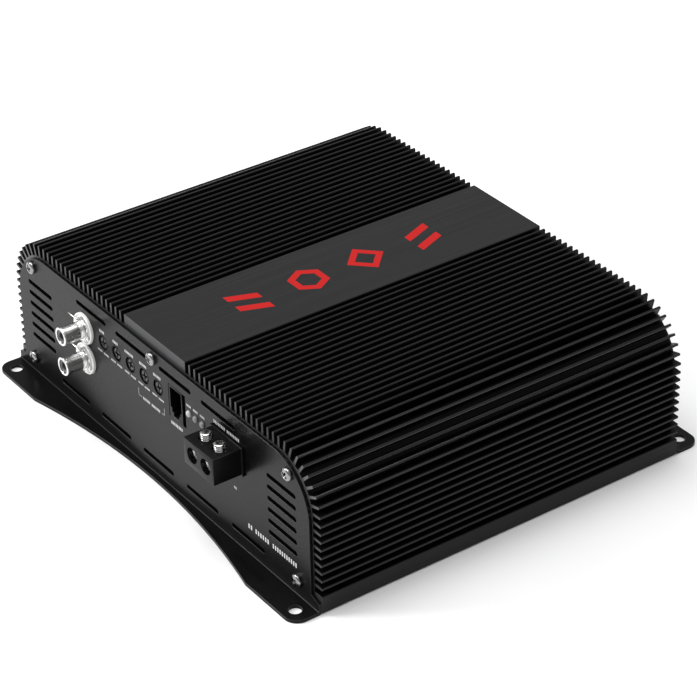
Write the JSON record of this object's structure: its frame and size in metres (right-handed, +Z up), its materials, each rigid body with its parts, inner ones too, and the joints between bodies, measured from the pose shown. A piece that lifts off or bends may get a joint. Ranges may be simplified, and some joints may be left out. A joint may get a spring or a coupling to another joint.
{
  "type": "car amplifier",
  "caption": "Car audio amplifier in a finned black extrusion with flanged end plates, phono sockets, trimmers, a remote jack, status lights and screw clamps for speaker and supply wires.",
  "frame": {"origin": "middle of the footprint, on the surface the amplifier stands on", "axes": "+X to the right seen from the socket end, -Y out of the socket end, +Z up through the fins"},
  "size_m": [0.23, 0.2106, 0.068],
  "materials": {
    "anodised_extrusion": "black anodised, fine lengthwise brushing",
    "painted_sheet": "black powder coat, satin",
    "black_screw": "black phosphate",
    "plated_screw": "bright zinc plate",
    "nickel": "bright nickel plate",
    "grey_nylon": "matt",
    "gold_contact": "thin gold plate",
    "blue_plastic": "moulded",
    "knob_plastic": "moulded, matt",
    "black_nylon": "moulded, fine texture",
    "led_lens": "water clear",
    "clamp_steel": "bright nickel plate",
    "board_laminate": "solder mask",
    "ferrite": "sintered",
    "enamelled_copper": "enamelled wire",
    "can_sleeve": "shrunk sleeve",
    "film_red": "dipped",
    "moulded_epoxy": "moulded",
    "silicone_pad": "matt",
    "spring_steel": "rolled",
    "copper_strip": "tinned"
  },
  "bodies": {
    "body": {"heatsink": "anodised_extrusion", "front_plate": "painted_sheet", "rear_plate": "painted_sheet", "bottom_cover": "painted_sheet", "cover_screws": "black_screw", "front_plate_screws": "plated_screw", "rear_plate_screws": "plated_screw", "phono_flanges": "nickel", "phono_lugs": "nickel", "phono_nuts": "nickel", "phono_shells": "nickel", "phono_inserts": "grey_nylon", "phono_contacts": "gold_contact", "trimmer_bodies": "blue_plastic", "remote_jack": "black_nylon", "remote_jack_contacts": "gold_contact", "status_leds": "led_lens", "speaker_terminal": "black_nylon", "speaker_blocks": "nickel", "supply_terminal": "black_nylon", "supply_blocks": "nickel", "main_board": "board_laminate", "board_screws": "plated_screw", "control_board": "board_laminate", "transformer_cores": "ferrite", "transformer_windings": "enamelled_copper", "output_choke_core": "ferrite", "output_choke_winding": "enamelled_copper", "supply_capacitors": "can_sleeve", "rail_capacitors": "can_sleeve", "film_capacitors": "film_red", "switch_transistors": "moulded_epoxy", "output_transistors": "moulded_epoxy", "insulator_strips": "silicone_pad", "clamp_bars": "spring_steel", "clamp_screws": "plated_screw", "driver_chips": "moulded_epoxy", "bus_tabs": "copper_strip"},
    "trimmer_knob_1": {"trimmer_knob_1": "knob_plastic"},
    "trimmer_knob_2": {"trimmer_knob_2": "knob_plastic"},
    "trimmer_knob_3": {"trimmer_knob_3": "knob_plastic"},
    "trimmer_knob_4": {"trimmer_knob_4": "knob_plastic"},
    "trimmer_knob_5": {"trimmer_knob_5": "knob_plastic"},
    "speaker_screw_1": {"speaker_screw_1": "clamp_steel"},
    "speaker_pad_1": {"speaker_pad_1": "clamp_steel"},
    "speaker_screw_2": {"speaker_screw_2": "clamp_steel"},
    "speaker_pad_2": {"speaker_pad_2": "clamp_steel"},
    "supply_screw_1": {"supply_screw_1": "clamp_steel"},
    "supply_pad_1": {"supply_pad_1": "clamp_steel"},
    "supply_screw_2": {"supply_screw_2": "clamp_steel"},
    "supply_pad_2": {"supply_pad_2": "clamp_steel"},
    "supply_screw_3": {"supply_screw_3": "clamp_steel"},
    "supply_pad_3": {"supply_pad_3": "clamp_steel"}
  },
  "joints": [
    {"name": "trimmer_turn_1", "type": "hinge", "parent": "body", "child": "trimmer_knob_1", "pos_m": [-0.0393, -0.0912, 0.0465], "axis": [0, -1, 0], "range_deg": [-150, 150]},
    {"name": "trimmer_turn_2", "type": "hinge", "parent": "body", "child": "trimmer_knob_2", "pos_m": [-0.0286, -0.0912, 0.0465], "axis": [0, -1, 0], "range_deg": [-150, 150]},
    {"name": "trimmer_turn_3", "type": "hinge", "parent": "body", "child": "trimmer_knob_3", "pos_m": [-0.0179, -0.0912, 0.0465], "axis": [0, -1, 0], "range_deg": [-150, 150]},
    {"name": "trimmer_turn_4", "type": "hinge", "parent": "body", "child": "trimmer_knob_4", "pos_m": [-0.0072, -0.0912, 0.0465], "axis": [0, -1, 0], "range_deg": [-150, 150]},
    {"name": "trimmer_turn_5", "type": "hinge", "parent": "body", "child": "trimmer_knob_5", "pos_m": [0.0035, -0.0912, 0.0465], "axis": [0, -1, 0], "range_deg": [-150, 150]},
    {"name": "speaker_pad_slide_1", "type": "slide", "parent": "body", "child": "speaker_pad_1", "axis": [0, 0, -1], "range_m": [0, 0.0024]},
    {"name": "speaker_screw_turn_1", "type": "hinge", "parent": "speaker_pad_1", "child": "speaker_screw_1", "pos_m": [0.05, -0.0985, 0.0444], "axis": [0, 0, -1], "range_deg": [0, 1090]},
    {"name": "speaker_pad_slide_2", "type": "slide", "parent": "body", "child": "speaker_pad_2", "axis": [0, 0, -1], "range_m": [0, 0.0024]},
    {"name": "speaker_screw_turn_2", "type": "hinge", "parent": "speaker_pad_2", "child": "speaker_screw_2", "pos_m": [0.0595, -0.0985, 0.0444], "axis": [0, 0, -1], "range_deg": [0, 1090]},
    {"name": "supply_pad_slide_1", "type": "slide", "parent": "body", "child": "supply_pad_1", "axis": [0, 0, -1], "range_m": [0, 0.0024]},
    {"name": "supply_screw_turn_1", "type": "hinge", "parent": "supply_pad_1", "child": "supply_screw_1", "pos_m": [0.012, 0.0985, 0.04], "axis": [0, 0, -1], "range_deg": [0, 1090]},
    {"name": "supply_pad_slide_2", "type": "slide", "parent": "body", "child": "supply_pad_2", "axis": [0, 0, -1], "range_m": [0, 0.0024]},
    {"name": "supply_screw_turn_2", "type": "hinge", "parent": "supply_pad_2", "child": "supply_screw_2", "pos_m": [-0.0035, 0.0985, 0.04], "axis": [0, 0, -1], "range_deg": [0, 1090]},
    {"name": "supply_pad_slide_3", "type": "slide", "parent": "body", "child": "supply_pad_3", "axis": [0, 0, -1], "range_m": [0, 0.0016]},
    {"name": "supply_screw_turn_3", "type": "hinge", "parent": "supply_pad_3", "child": "supply_screw_3", "pos_m": [-0.0143, 0.0985, 0.04], "axis": [0, 0, -1], "range_deg": [0, 730]}
  ],
  "couplings": [
    {"joint": "speaker_screw_turn_1", "follows": "speaker_pad_slide_1", "rad_per_m": 7854},
    {"joint": "speaker_screw_turn_2", "follows": "speaker_pad_slide_2", "rad_per_m": 7854},
    {"joint": "supply_screw_turn_1", "follows": "supply_pad_slide_1", "rad_per_m": 7854},
    {"joint": "supply_screw_turn_2", "follows": "supply_pad_slide_2", "rad_per_m": 7854},
    {"joint": "supply_screw_turn_3", "follows": "supply_pad_slide_3", "rad_per_m": 7854}
  ]
}
